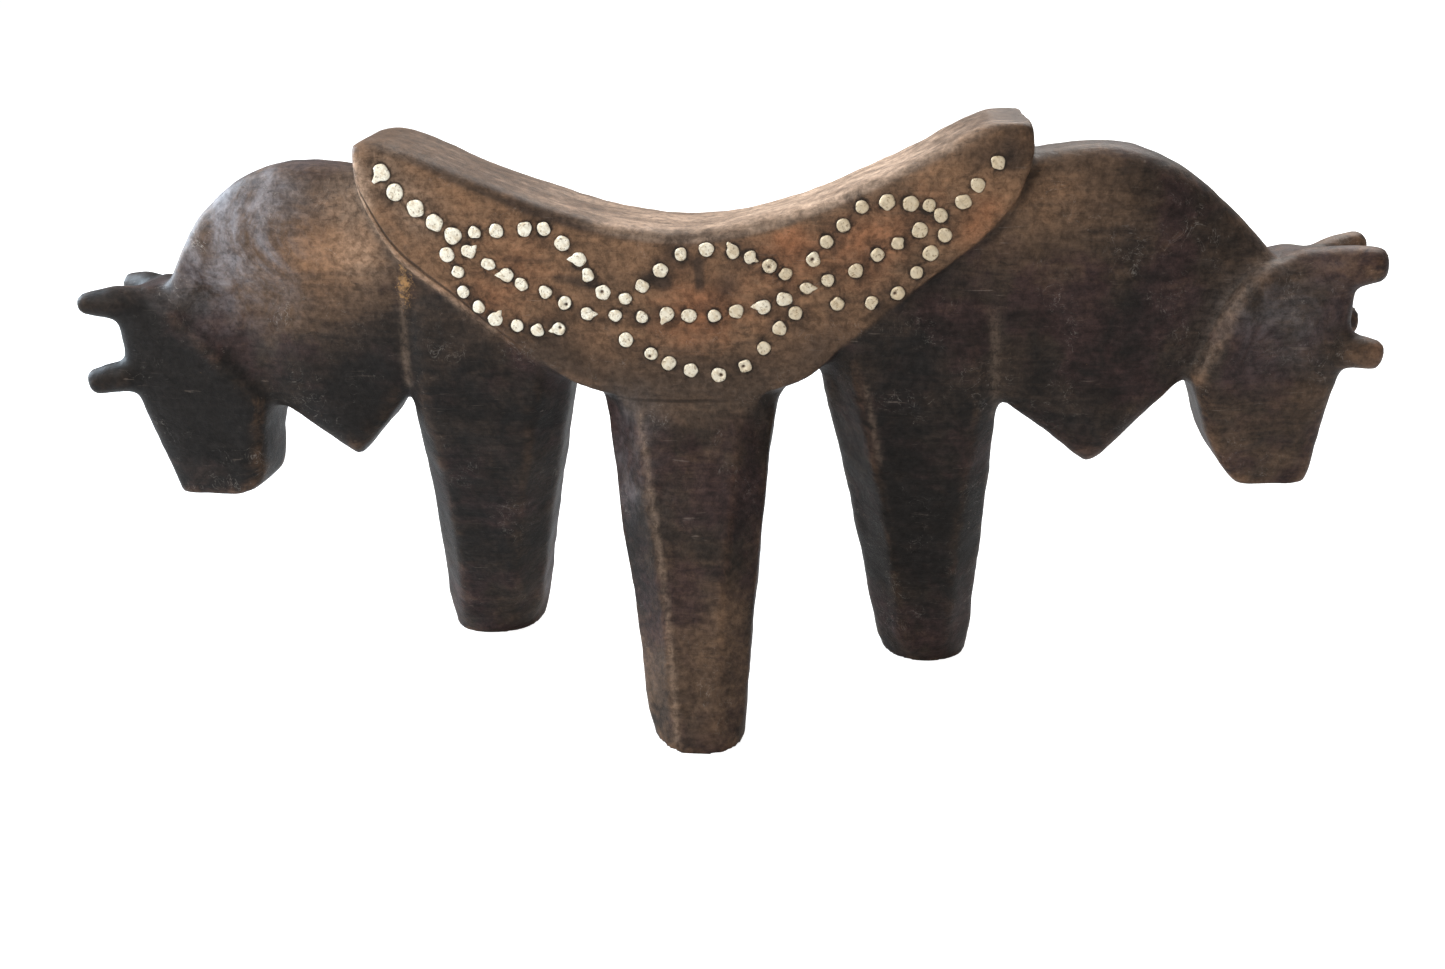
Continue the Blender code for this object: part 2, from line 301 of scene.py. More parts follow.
def leg(levels, crisp):
    """Rings of an eight-sided column with soft corners. In each direction a flat lies its
    distance over the cosine away; the ring takes the sum over the flats of one over that,
    to a high power, so that the nearest flat decides and corners come out round. The power
    is lower towards the sole, where the corners are worn softer."""
    rows = spline(np.array(levels, float), 10).T[..., None]
    z, left, right, front, back, cut_left, cut_right = rows
    angle = np.linspace(0, 2 * np.pi, ROUND_LEG, endpoint=False)[None]
    wide, deep = (right - left) / 2, (back - front) / 2
    side, out = np.abs(np.cos(angle)), np.abs(np.sin(angle))
    share = (1 + np.cos(angle)) / 2
    crisp = SOLE_CRISP + (crisp - SOLE_CRISP) * np.clip((z - CRISP_FROM) / CRISP_OVER, 0, 1)
    corner = wide + deep - cut_left * (1 - share) - cut_right * share
    total = (side / wide) ** crisp + (out / deep) ** crisp
    total += ((side + out) / corner) ** crisp
    reach = total ** (-1 / crisp)
    return np.stack(
        [
            (left + right) / 2 + reach * np.cos(angle),
            (front + back) / 2 + reach * np.sin(angle),
            np.broadcast_to(z, reach.shape),
        ],
        axis=-1,
    )


legs = [leg(FRONT_LEG, FRONT_CRISP), leg(LEFT_LEG, LEFT_CRISP), leg(RIGHT_LEG, RIGHT_CRISP)]


# Block ----------------------------------------------------------------------------------
# All of the above is one piece of dark hardwood with no joint in it. The shapes are grown
# together, the knife's inside corners eased, and years of hands left every edge soft.
VOXEL = 1.33
EASE_ROUNDS = 4
EASE_PULL, EASE_PUSH = 0.55, -0.57
FILL_ROUNDS = 40


def shells(shapes):
    """Vertices and faces of closed surfaces: each ring is joined to the next, and a point
    in the middle of an end ring closes it."""
    points, faces, first = [], [], 0
    for rings in shapes:
        rows, around = rings.shape[:2]
        ends = rings[[0, -1]].mean(axis=1)
        points += [rings.reshape(-1, 3), ends]
        index = first + np.arange(rows * around).reshape(rows, around)
        ahead = np.roll(index, -1, axis=1)
        quads = np.stack([index[:-1], ahead[:-1], ahead[1:], index[1:]], axis=-1)
        faces += quads.reshape(-1, 4).tolist()
        low, high = first + rows * around, first + rows * around + 1
        faces += [(low, b, a) for a, b in zip(index[0].tolist(), ahead[0].tolist())]
        faces += [(high, a, b) for a, b in zip(index[-1].tolist(), ahead[-1].tolist())]
        first = high + 1
    return np.vstack(points), faces


def mesh_from(name, points, faces):
    """A mesh in metres, with its faces as they are given."""
    mesh = bpy.data.meshes.new(name)
    mesh.from_pydata((points * MM).tolist(), [], faces)
    mesh.update()
    return mesh


def show(name, mesh):
    """An object at the origin that holds the mesh."""
    obj = bpy.data.objects.new(name, mesh)
    bpy.context.scene.collection.objects.link(obj)
    return obj


def fused(name, shapes, voxel):
    """One skin round all the shapes together, as fine as the voxel."""
    rough = show(name + "_rough", mesh_from(name, *shells(shapes)))
    remesh = rough.modifiers.new("grow together", "REMESH")
    remesh.mode = "VOXEL"
    remesh.voxel_size = voxel * MM
    graph = bpy.context.evaluated_depsgraph_get()
    mesh = bpy.data.meshes.new_from_object(rough.evaluated_get(graph))
    bpy.data.objects.remove(rough)
    mesh.name = name
    return mesh


def places_of(mesh):
    """The mesh's vertices in millimetres."""
    flat = np.empty(len(mesh.vertices) * 3, np.float32)
    mesh.vertices.foreach_get("co", flat)
    return flat.reshape(-1, 3).astype(float) / MM


def neighbours_of(mesh):
    """The two ends of every edge, and how many edges meet at each vertex."""
    flat = np.empty(len(mesh.edges) * 2, np.int32)
    mesh.edges.foreach_get("vertices", flat)
    a, b = flat.reshape(-1, 2).T
    total = len(mesh.vertices)
    return a, b, np.bincount(a, minlength=total) + np.bincount(b, minlength=total)


def averaged(values, edges):
    """Each vertex's mean over the vertices that it shares an edge with."""
    a, b, count = edges
    columns = values.reshape(len(count), -1)
    total = np.stack(
        [
            np.bincount(a, column[b], len(count)) + np.bincount(b, column[a], len(count))
            for column in columns.T
        ],
        axis=-1,
    )
    return (total / count[:, None]).reshape(values.shape)


def eased(points, edges, rounds):
    """Corners worn softer: each round pulls a vertex towards its neighbours' mean and then
    pushes it back a little more, so that the whole doesn't shrink."""
    for step in range(rounds):
        for pull in (EASE_PULL, EASE_PUSH):
            points = points + pull * (averaged(points, edges) - points)
    return points


def filled(mesh, points, edges, share, rounds):
    """Inside corners worn round: where the mean of a vertex's neighbours lies outside it,
    the vertex moves out to it along its normal, by a share that may differ by vertex."""
    for step in range(rounds):
        if step % 4 == 0:
            mesh.vertices.foreach_set("co", (points * MM).astype(np.float32).ravel())
            mesh.update()
            outward = normals_of(mesh)
        rise = np.einsum("ij,ij->i", averaged(points, edges) - points, outward)
        points = points + (share * np.maximum(rise, 0))[:, None] * outward
    return points


def normals_of(mesh):
    """The mesh's vertex normals."""
    flat = np.empty(len(mesh.vertices) * 3, np.float32)
    mesh.vertex_normals.foreach_get("vector", flat)
    return flat.reshape(-1, 3).astype(float)


def ripple(points, length, seed, waves=14):
    """A soft uneven field between about -1 and 1: the sum of sine waves that run in random
    directions, each 0.7 to 1.5 lengths long."""
    draw = np.random.default_rng(seed)
    turn = draw.normal(size=(waves, 3))
    turn /= np.linalg.norm(turn, axis=1, keepdims=True)
    rate = 2 * np.pi / (length * draw.uniform(0.7, 1.5, waves))
    start = draw.uniform(0, 2 * np.pi, waves)
    return np.sin(points @ (turn * rate[:, None]).T + start).sum(axis=1) / np.sqrt(waves)


def smooth_step(value, low, high):
    """0 below low, 1 above high and an even slope between."""
    t = np.clip((value - low) / (high - low), 0, 1)
    return t * t * (3 - 2 * t)


block_mesh = fused(
    "carved_block",
    [seat_rings, left_body, right_body, left_head, right_head, *horns, *legs],
    VOXEL,
)
block_edges = neighbours_of(block_mesh)
block = places_of(block_mesh)

# Inside corners are filled round the horns and at the left bull's neck, and by half where the
# legs leave the belly.
HORNS_FROM, LEFT_NECK_FROM, LEGS_WITHIN = 184, 140, 100
LEG_TOPS = (70, 128)
reach = np.abs(block[:, 0] + 2)
at_horns = np.clip((reach - HORNS_FROM) / 6, 0, 1)
at_neck = 0.85 * np.clip((-block[:, 0] - LEFT_NECK_FROM) / 12, 0, 1)
at_belly = 0.5 * (reach < LEGS_WITHIN) * np.clip((LEG_TOPS[1] - block[:, 2]) / 10, 0, 1)
at_belly *= np.clip((block[:, 2] - LEG_TOPS[0]) / 20, 0, 1)
share = np.maximum(np.maximum(at_horns, at_belly), at_neck)
block = filled(block_mesh, block, block_edges, share, FILL_ROUNDS)
block = eased(block, block_edges, EASE_ROUNDS)
block_mesh.vertices.foreach_set("co", (block * MM).astype(np.float32).ravel())
block_mesh.update()
facing = normals_of(block_mesh)

# Where the seat's front face and its saddle are: each is a product of slopes from 0 to 1
# between two heights, depths or tilts. The front leg runs up into the face, so the seat's
# lower rim is a slower change there.
LEG_MIDDLE = -4
LEG_HALF, LEG_FLAT_HALF = 34, 26
# How pale the saddle is along X: partly polish from use, partly a painted sheen of the light from
# above.
POLISH_AND_SHEEN_ALONG = [
    (-106, -0.1), (-88, -0.1), (-60, 0.05), (-30, 0.36), (0, 0.56), (30, 0.68), (60, 0.6),
    (85, 0.15), (101, -0.2),
]
x, y, z = block.T
saddle_at, belly_at = height_along(SADDLE, x), height_along(BELLY, x)
along_seat = smooth_step(x, -107.5, -105.5) * smooth_step(-x, -102.2, -100.2)
over_leg = smooth_step(-np.abs(x - LEG_MIDDLE), -LEG_HALF, -LEG_FLAT_HALF)
rim_gap = z - belly_at
slack = 3 * over_leg
in_seat = along_seat * smooth_step(rim_gap + slack, -1.5 - slack, 1.0 + slack)
on_face = in_seat * smooth_step(-y, 16.6, 17.8) * smooth_step(-facing[:, 1], 0.3, 0.8)
face_low = smooth_step(-z, -141, -114)
polish_and_sheen_along = straight(POLISH_AND_SHEEN_ALONG, x)
on_saddle = in_seat * smooth_step(facing[:, 2], 0.3, 0.62) * smooth_step(z - saddle_at, -7, -3)

# The surface is never true: long hollows from the adze and short ones from the knife, each
# given as depth, length and seed, and a shallow line where the front leg leaves the seat.
HOLLOWS = [(0.38, 46, 1), (0.16, 17, 2), (0.06, 6.5, 3)]
COLLAR_HEIGHT = 111.5
COLLAR_WIDTH = 1.6
COLLAR_CUT = 0.35
collar_line = np.exp(-((z - COLLAR_HEIGHT) / COLLAR_WIDTH) ** 2) * smooth_step(-y, 14, 17)
collar_line *= np.abs(x - LEG_MIDDLE) < LEG_HALF
hollows = sum(depth * ripple(block, length, seed) for depth, length, seed in HOLLOWS)
carving = hollows * (1 - 0.7 * on_face) - COLLAR_CUT * collar_line
block = block + facing * carving[:, None]
block[:, 2] = np.maximum(block[:, 2], 0)
sole = smooth_step(-z, -1.4, -0.4) * smooth_step(-facing[:, 2], 0.5, 0.8)
block[:, 2] *= 1 - sole
low, high = np.array(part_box("carved_body")) / MM
block = np.clip(block, low, high)
block_mesh.vertices.foreach_set("co", (block * MM).astype(np.float32).ravel())
block_mesh.update()
block_mesh.shade_smooth()
facing = normals_of(block_mesh)

# Wear: a vertex that stands out from its neighbours is on an edge that hands have rubbed,
# and one that lies behind them is in a hollow, darkened both for the dirt that stays there
# and as painted shade. The left bull's crown and horns stayed dark.
BULGE = (0.015, 0.10)
WEAR_ROUNDS = 4
bulge = np.einsum("ij,ij->i", block - averaged(block, block_edges), facing)
for step in range(WEAR_ROUNDS):
    bulge = averaged(bulge, block_edges)
worn = smooth_step(bulge, *BULGE) * (1 - 0.75 * smooth_step(-block[:, 0], 176, 190))
sunk_dirt_and_shade = smooth_step(-bulge, *BULGE)


def keep(mesh, name, values):
    """Stores one number for each vertex, which the mesh's materials read."""
    attribute = mesh.attributes.new(name, "FLOAT", "POINT")
    attribute.data.foreach_set("value", values.astype(np.float32))


# Handling and smoke have left some parts paler and some nearly black. The dark spots low
# on the heads, chests and legs and under the seat, and on the left facet of the front leg,
# are also painted shade, and the pale spots on the left bull's back are partly a painted
# sheen. Each spot below is across, up, how far it reaches and how strong it is, on either
# side of the block.
TONE_SHADE_AND_SHEEN_SPOTS = [
    (-150, 165, 30, 0.85), (-140, 140, 26, 0.35), (-110, 163, 19, 1.5), (-124, 150, 20, 0.5),
    (-190, 115, 38, -0.8), (-200, 140, 14, -0.5), (-160, 90, 30, -0.6), (-122, 106, 28, -0.6),
    (-75, 108, 34, -0.5), (-88, 40, 34, -0.35), (112, 180, 22, 1.0), (94, 166, 14, 0.5),
    (128, 132, 34, -0.25), (126, 98, 22, 0.05), (184, 100, 26, 0.15), (172, 140, 18, 0.1),
    (60, 108, 30, -0.5), (78, 60, 34, -0.5), (76, 20, 30, -0.4), (-28, 72, 9, -0.5),
    (-25, 50, 8, -0.3), (0, 60, 22, 0.05), (-2, 22, 28, 0.6), (12, 45, 12, 0.3),
]
# Spots of grey bloom: partly wax, partly a painted bluish sheen of the window's light on the left
# bull's back, the front leg's left facet and the right head.
BLOOM_AND_SHEEN_SPOTS = [
    (-160, 168, 21, 1.15), (-150, 154, 18, 0.7), (-138, 176, 14, 0.5), (-26, 84, 12, 0.35),
    (178, 138, 14, 0.4), (-22, 106, 8, 0.3),
]
GLOW_SPOTS = [
    (-56, 151, 15, 0.5), (-70, 140, 8, 0.3), (2, 140, 18, 0.8), (28, 161, 11, 0.8),
    (52, 162, 16, 0.8), (70, 174, 11, 0.5), (88, 172, 8, 0.6), (84, 162, 7, 0.4),
    (-84, 168, 12, 0.2), (-95, 172, 9, 0.3),
]
GLOOM_SPOTS = [
    (99, 192, 8, 1.3), (84, 190, 7, 0.6), (-30, 150, 10, 0.4), (-48, 126, 14, 0.8),
    (-24, 114, 12, 0.6), (40, 128, 13, 0.7), (62, 143, 12, 0.6), (-66, 136, 7, 0.4),
    (20, 114, 12, 0.5), (86, 160, 8, 0.3), (10, 150, 6, 0.6), (-6, 158, 14, 0.35),
]
# Pale lines, partly of wear and partly painted highlights along ridges and rims, and darker
# lines; each a row of points, how wide it is and how strong.
PALE_AND_HIGHLIGHT_LINES = [
    ([(-95.4, 153), (-96.6, 135), (-98.0, 114)], 1.2, 0.16),
    (
        [(-105.6, 186), (-104.6, 176), (-101.5, 167), (-94, 156.4), (-80, 146), (-66, 135)],
        1.4, 0.36,
    ),
    ([(-105, 188), (-103.5, 182), (-103, 176)], 3.0, 0.6),
    ([(176, 157.4), (166.5, 149), (163, 140), (159, 124.7), (157.8, 121)], 3.0, 0.10),
    ([(-19.4, 107), (-10.2, 46.5), (-7.4, 17.8), (-7, 4)], 1.0, 0.20),
    ([(53.5, 116), (58.6, 88)], 0.9, 0.13), ([(92.5, 140), (95.4, 104)], 1.6, 0.10),
    ([(-97, 186), (-86, 173)], 7.0, 0.28), ([(-109, 173), (-108, 158)], 8.0, 0.32),
]
# The two darker lines along the saddle's front rim are painted shade; the short ones below them
# are darker marks on the face.
DARK_AND_RIM_SHADE_LINES = [
    ([(-98, 193), (-90, 191.4), (-82, 188), (-66, 180.5), (-50, 173.6), (-34, 168.6)], 2.5, 1.1),
    ([(-34, 167), (-10, 164.8), (14, 166), (34, 171.4), (56, 181), (74, 189)], 1.8, 0.5),
    ([(0.8, 157), (1.2, 149.5)], 1.4, 0.85), ([(-16, 152), (-10, 150.5)], 2.4, 0.7),
    ([(-44, 152), (-32, 150)], 1.6, 0.6), ([(-60, 158), (-46, 157.4)], 1.4, 0.5),
]


def spots(points, places):
    """The sum of round spots in the plane of the front, each a bell curve of its distance."""
    total = np.zeros(len(points))
    for across, up, reach, amount in places:
        away = ((points[:, 0] - across) ** 2 + (points[:, 2] - up) ** 2) / reach**2
        total += amount * np.exp(-away)
    return total


def lines(points, rows):
    """The strongest of the lines at each point: a bell curve of the distance, in the plane
    of the front, to the nearest place on the line's straight stretches."""
    most = np.zeros(len(points))
    flat = points[:, [0, 2]]
    for row, width, amount in rows:
        for a, b in zip(np.array(row[:-1], float), np.array(row[1:], float)):
            t = np.clip((flat - a) @ (b - a) / ((b - a) @ (b - a)), 0, 1)
            away = np.linalg.norm(flat - a - t[:, None] * (b - a), axis=1)
            most = np.maximum(most, amount * np.exp(-((away / width) ** 2)))
    return most


# The back has the spots of tone, with their painted shade and sheen, and of bloom, with its
# painted sheen, at half the strength, and none of the lines.
front_side = smooth_step(-facing[:, 1], -0.1, 0.4)
tone_shade_and_sheen = spots(block, TONE_SHADE_AND_SHEEN_SPOTS) * (0.5 + 0.5 * front_side)
bloom_and_sheen = spots(block, BLOOM_AND_SHEEN_SPOTS) * (0.5 + 0.5 * front_side)
glow = spots(block, GLOW_SPOTS) * on_face
gloom_and_rim_shade = spots(block, GLOOM_SPOTS) + lines(block, DARK_AND_RIM_SHADE_LINES) * smooth_step(-y, 10, 17)
pale = lines(block, PALE_AND_HIGHLIGHT_LINES) * front_side


# The drilled holes: where their floors are, how wide they may be, and how far the seat and
# its front reach.
SOCKET_FLOOR = -11.7
SOCKET_WIDTH = 3.9
SEAT_REACH = 110
LARGE_HEAD, SMALL_HEAD = 2.7, 2.15
BEHIND_FACE, NEAR_FACE = -12, -14
FAR_OFF = 20.0
# The groove: how far over the rim it runs, and the middle and half width of its stretch at
# the collar.
GROOVE_RISE = 3.4
COLLAR_MIDDLE, COLLAR_HALF = -6, 27


def centres_of_sockets():
    """The middle of every drilled hole: the floors of the holes are the only flats of the
    packed block at their depth, so the points at that depth fall into small rounds."""
    wood = places_of(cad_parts["carved_body"].data)
    at_floor = np.abs(wood[:, 1] - SOCKET_FLOOR) < 0.05
    inside = wood[at_floor & (np.abs(wood[:, 0]) < SEAT_REACH)]
    centres = []
    while len(inside):
        near = np.hypot(*(inside - inside[0])[:, [0, 2]].T) < SOCKET_WIDTH
        ring = np.unique(inside[near].round(2), axis=0)
        centres.append(ring.mean(axis=0)[[0, 2]])
        inside = inside[~near]
    return np.array(centres)


# Grease lies round each head, by the gap from its edge.
sockets = centres_of_sockets()
tail_boxes = [np.array(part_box(f"left_tail_plug_{number}")) for number in range(1, 6)]
tail_middles = np.array([box.mean(axis=0) for box in tail_boxes]) / MM
to_plug = np.full(len(block), FAR_OFF)
for centre in sockets:
    is_large = np.hypot(*(tail_middles[:, [0, 2]] - centre).T).min() < 1
    away = np.hypot(block[:, 0] - centre[0], block[:, 2] - centre[1])
    to_plug = np.minimum(to_plug, away - (LARGE_HEAD if is_large else SMALL_HEAD))
to_plug = np.where(block[:, 1] < BEHIND_FACE, to_plug, FAR_OFF)

# A fine groove follows the lower rim of the face on the left, and a short one the collar.
rim_scale = 1 - 0.35 * smooth_step(-x, 60, 100)
to_rim = np.where(on_face > 0.05, rim_gap * rim_scale, FAR_OFF)
rim_fade = smooth_step(-x, 50, 75) * smooth_step(-z, -186, -176)
at_collar = np.abs(x - COLLAR_MIDDLE) < COLLAR_HALF
at_collar &= (np.abs(z - COLLAR_HEIGHT) < 3) & (block[:, 1] < NEAR_FACE)
to_rim = np.where(at_collar, z - COLLAR_HEIGHT + GROOVE_RISE, to_rim)
collar_fade = 0.8 - 0.8 * ((x - COLLAR_MIDDLE) / COLLAR_HALF) ** 2
rim_fade = np.where(at_collar, collar_fade, rim_fade)

# Raw golden wood shows in a chipped spot over the left leg: across, up and its half widths.
RAW_SPOT = (-94.8, 149, 3.0, 8.5)
raw_across = ((block[:, 0] - RAW_SPOT[0]) / RAW_SPOT[2]) ** 2
raw_up = ((block[:, 2] - RAW_SPOT[1]) / RAW_SPOT[3]) ** 2
raw_spot = np.exp(-raw_across - raw_up) * (block[:, 1] < 0)

for name, values in {
    "face": on_face, "face_low": face_low, "saddle": on_saddle, "polish_and_sheen_along": polish_and_sheen_along,
    "tone_shade_and_sheen": tone_shade_and_sheen, "worn": worn, "sunk_dirt_and_shade": sunk_dirt_and_shade, "bloom_and_sheen": bloom_and_sheen, "glow": glow, "gloom_and_rim_shade": gloom_and_rim_shade,
    "pale": pale, "to_plug": to_plug, "to_rim": to_rim, "rim_fade": rim_fade,
    "raw_spot": raw_spot,
}.items():
    keep(block_mesh, name, values)

carved_block = show("carved_block", block_mesh)
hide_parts("carved_body")
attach(carved_block, "root")


# Wood finish ----------------------------------------------------------------------------
# Dark oiled hardwood with its grain along the bulls. Smoke and grease have made it nearly
# black below, where painted shade darkens it further; rubbed parts are red-brown; and a grey
# bloom, partly wax never wiped off and partly a painted bluish sheen of the window's light,
# lies on the parts turned to the light.
class Finish:
    """A material in the making: each method below adds a node and returns its output."""

    def __init__(self, tree):
        self.tree = tree

    def node(self, kind, **settings):
        """The node itself, with its settings."""
        made = self.tree.nodes.new(kind)
        for name, value in settings.items():
            setattr(made, name, value)
        return made

    def feed(self, socket, value):
        """Links an output to the socket, or sets the socket to a number."""
        if isinstance(value, bpy.types.NodeSocket):
            self.tree.links.new(value, socket)
        else:
            socket.default_value = value

    def math(self, operation, *values, clamp=False):
        """The operation on the values."""
        made = self.node("ShaderNodeMath", operation=operation, use_clamp=clamp)
        for socket, value in zip(made.inputs, values):
            self.feed(socket, value)
        return made.outputs[0]

    def times(self, first, second, clamp=False):
        """The first value times the second."""
        return self.math("MULTIPLY", first, second, clamp=clamp)

    def plus(self, first, second):
        """The first value plus the second."""
        return self.math("ADD", first, second)

    def swing(self, value, amount):
        """How far the value is from one half, times the amount."""
        return self.times(self.math("SUBTRACT", value, 0.5), amount)

    def ramp(self, value, low, high, to_low=0.0, to_high=1.0):
        """An S-shaped slope: to_low where the value is low, to_high where it is high."""
        made = self.node("ShaderNodeMapRange", interpolation_type="SMOOTHSTEP")
        for socket, number in zip(made.inputs, (value, low, high, to_low, to_high)):
            self.feed(socket, number)
        return made.outputs[0]

    def mix(self, amount, first, second, blend="MIX"):
        """The first colour with the second laid over it by the amount."""
        made = self.node("ShaderNodeMix", data_type="RGBA", blend_type=blend)
        self.feed(made.inputs[0], amount)
        for socket, value in ((made.inputs[6], first), (made.inputs[7], second)):
            self.feed(socket, value if isinstance(value, bpy.types.NodeSocket) else (*value, 1))
        return made.outputs[2]

    def scaled(self, vector, scale):
        """The place with each of its three numbers multiplied."""
        made = self.node("ShaderNodeMapping")
        self.feed(made.inputs["Vector"], vector)
        made.inputs["Scale"].default_value = scale
        return made.outputs[0]

    def noise(self, vector, scale, detail=4.0, rough=0.55, twist=0.0):
        """Cloudy noise with so many lumps to the millimetre."""
        made = self.node("ShaderNodeTexNoise")
        self.feed(made.inputs["Vector"], vector)
        made.inputs["Scale"].default_value = scale
        made.inputs["Detail"].default_value = detail
        made.inputs["Roughness"].default_value = rough
        made.inputs["Distortion"].default_value = twist
        return made.outputs[0]

    def attribute(self, name):
        """The number that was kept for each vertex under the name."""
        made = self.node("ShaderNodeAttribute", attribute_name=name)
        return made.outputs["Fac"]

    def place(self):
        """The place on the piece in millimetres."""
        made = self.node("ShaderNodeTexCoord")
        return self.scaled(made.outputs["Object"], (1000, 1000, 1000))


def material(name):
    """A new material, emptied, with its surface and its maker."""
    made = bpy.data.materials.new(name)
    made.use_nodes = True
    tree = made.node_tree
    tree.nodes.clear()
    finish = Finish(tree)
    surface = finish.node("ShaderNodeBsdfPrincipled")
    output = finish.node("ShaderNodeOutputMaterial")
    tree.links.new(surface.outputs[0], output.inputs[0])
    return made, finish, surface


# The wood's colours, and how deep its relief is in metres.
# The first is the wood's own near-black, and it also stands for painted shade low down and in
# hollows.
BLACKENED_AND_SHADED = (0.0095, 0.0078, 0.0068)
SMOKED = (0.030, 0.0205, 0.0152)
WINE = (0.033, 0.0185, 0.0170)
OILED = (0.088, 0.054, 0.034)
UNDER = (0.056, 0.038, 0.027)
RUBBED = (0.215, 0.118, 0.064)
RED = (0.260, 0.094, 0.040)
PALE = (0.43, 0.305, 0.22)
BLOOM_AND_SHEEN = (0.215, 0.205, 0.22)
RAW = (0.34, 0.19, 0.075)
GREASE = (0.010, 0.0075, 0.006)
SCRATCHED = (0.42, 0.38, 0.34)
HAIRLINE = (0.19, 0.15, 0.125)
WOOD_RELIEF = 0.0005

wood, f, surface = material("oiled_hardwood")
place = f.place()

# Unevenness at three sizes in lumps to the millimetre, and grain and pores drawn out along
# the bulls.
broad = f.noise(place, 0.024, 3, 0.55, 0.5)
mottle = f.noise(place, 0.10, 8, 0.66, 0.8)
fine = f.noise(place, 0.42, 8, 0.72, 0.3)
grain = f.noise(f.scaled(place, (0.05, 0.30, 0.30)), 1.0, 8, 0.68, 0.5)
pores = f.noise(f.scaled(place, (0.22, 1.3, 1.3)), 1.0, 4, 0.6)
pore = f.ramp(pores, 0.62, 0.72)
uneven = f.swing(mottle, 1.5)
uneven = f.plus(uneven, f.swing(broad, 1.8))
uneven = f.plus(uneven, f.swing(grain, 0.9))

# The bulls and legs, from blackened through smoked and oiled to rubbed wood. The darkest
# of it low down and on the front leg's left facet is painted shade, and the palest on the
# left bull's back is partly a painted sheen.
tone_shade_and_sheen_here = f.plus(f.attribute("tone_shade_and_sheen"), uneven)
stained = f.mix(f.ramp(f.noise(place, 0.04, 4, 0.6), 0.42, 0.58), SMOKED, WINE)
colour = f.mix(f.ramp(tone_shade_and_sheen_here, -0.7, 0.2), BLACKENED_AND_SHADED, stained)
colour = f.mix(f.ramp(tone_shade_and_sheen_here, -0.05, 0.95), colour, OILED)
colour = f.mix(f.ramp(tone_shade_and_sheen_here, 0.8, 2.0), colour, RUBBED)

# The studded face, redder inside the loops, duller in its dark places and along its foot,
# and darkened under its upper rim with painted shade.
face_colour = f.mix(f.ramp(uneven, -0.75, 0.45), OILED, RUBBED)
glow_here = f.plus(f.attribute("glow"), f.times(uneven, 0.8))
face_colour = f.mix(f.ramp(glow_here, 0.15, 1.3, 0, 0.7), face_colour, RED)
face_colour = f.mix(f.ramp(uneven, -0.2, -0.9, 0, 0.8), face_colour, SMOKED)
gloom_and_rim_shade_here = f.plus(f.attribute("gloom_and_rim_shade"), f.times(uneven, 0.5))
face_colour = f.mix(f.ramp(gloom_and_rim_shade_here, 0.05, 0.9, 0, 0.85), face_colour, SMOKED)
under = f.times(f.attribute("face_low"), f.ramp(uneven, -0.5, 0.6, 1.0, 0.7))
face_colour = f.mix(under, face_colour, UNDER)
colour = f.mix(f.attribute("face"), colour, face_colour)

# The saddle, paler along its middle: partly polished by use and partly a painted sheen of
# the light from above and behind. Its front rim is darkened with painted shade.
streak = f.noise(f.scaled(place, (0.035, 0.22, 0.22)), 1.0, 6, 0.6, 0.3)
polish_and_sheen_top = f.plus(f.attribute("polish_and_sheen_along"), f.times(uneven, 0.15))
polish_and_sheen_top = f.plus(polish_and_sheen_top, f.swing(streak, 1.6))
saddle_colour = f.mix(f.ramp(polish_and_sheen_top, -0.1, 1.1), OILED, PALE)
saddle_colour = f.mix(f.ramp(gloom_and_rim_shade_here, 0.05, 0.9, 0, 0.7), saddle_colour, SMOKED)
colour = f.mix(f.times(f.attribute("saddle"), 0.9), colour, saddle_colour)

# Rubbed edges, and hollows darkened with dirt and with painted shade.
worn_here = f.times(f.attribute("worn"), f.ramp(mottle, 0.35, 0.6), clamp=True)
colour = f.mix(f.times(worn_here, 0.35), colour, RUBBED)
colour = f.mix(f.times(f.attribute("sunk_dirt_and_shade"), 0.7), colour, BLACKENED_AND_SHADED)

# Wax bloom with a painted bluish sheen in it, a web of scratches in it, hairlines along the
# grain, and pale rubbed lines that are partly painted highlights along ridges.
haze = f.ramp(f.noise(place, 0.05, 6, 0.7, 1.2), 0.3, 0.75)
bloom_and_sheen_here = f.times(haze, f.plus(f.attribute("bloom_and_sheen"), 0.02), clamp=True)
colour = f.mix(f.times(bloom_and_sheen_here, 0.8), colour, BLOOM_AND_SHEEN)
web = f.noise(place, 0.11, 4, 0.6, 1.8)
scratch = f.ramp(f.math("ABSOLUTE", f.math("SUBTRACT", web, 0.5)), 0.010, 0.0)
scratch = f.times(scratch, f.ramp(f.noise(place, 0.05, 5, 0.7), 0.52, 0.66))
in_bloom_and_sheen = f.plus(0.22, f.times(f.attribute("bloom_and_sheen"), 0.6))
scratch = f.times(scratch, in_bloom_and_sheen)
colour = f.mix(scratch, colour, SCRATCHED)
hairs = f.ramp(f.noise(f.scaled(place, (0.07, 0.9, 0.9)), 1.0, 3, 0.6, 0.6), 0.63, 0.70)
hairs = f.times(hairs, f.ramp(f.noise(place, 0.06, 3, 0.6), 0.5, 0.62))
colour = f.mix(f.times(hairs, 0.28), colour, HAIRLINE)
pale_and_highlight_here = f.times(f.attribute("pale"), f.ramp(fine, 0.38, 0.58, 0.6, 1.0))
colour = f.mix(pale_and_highlight_here, colour, PALE)

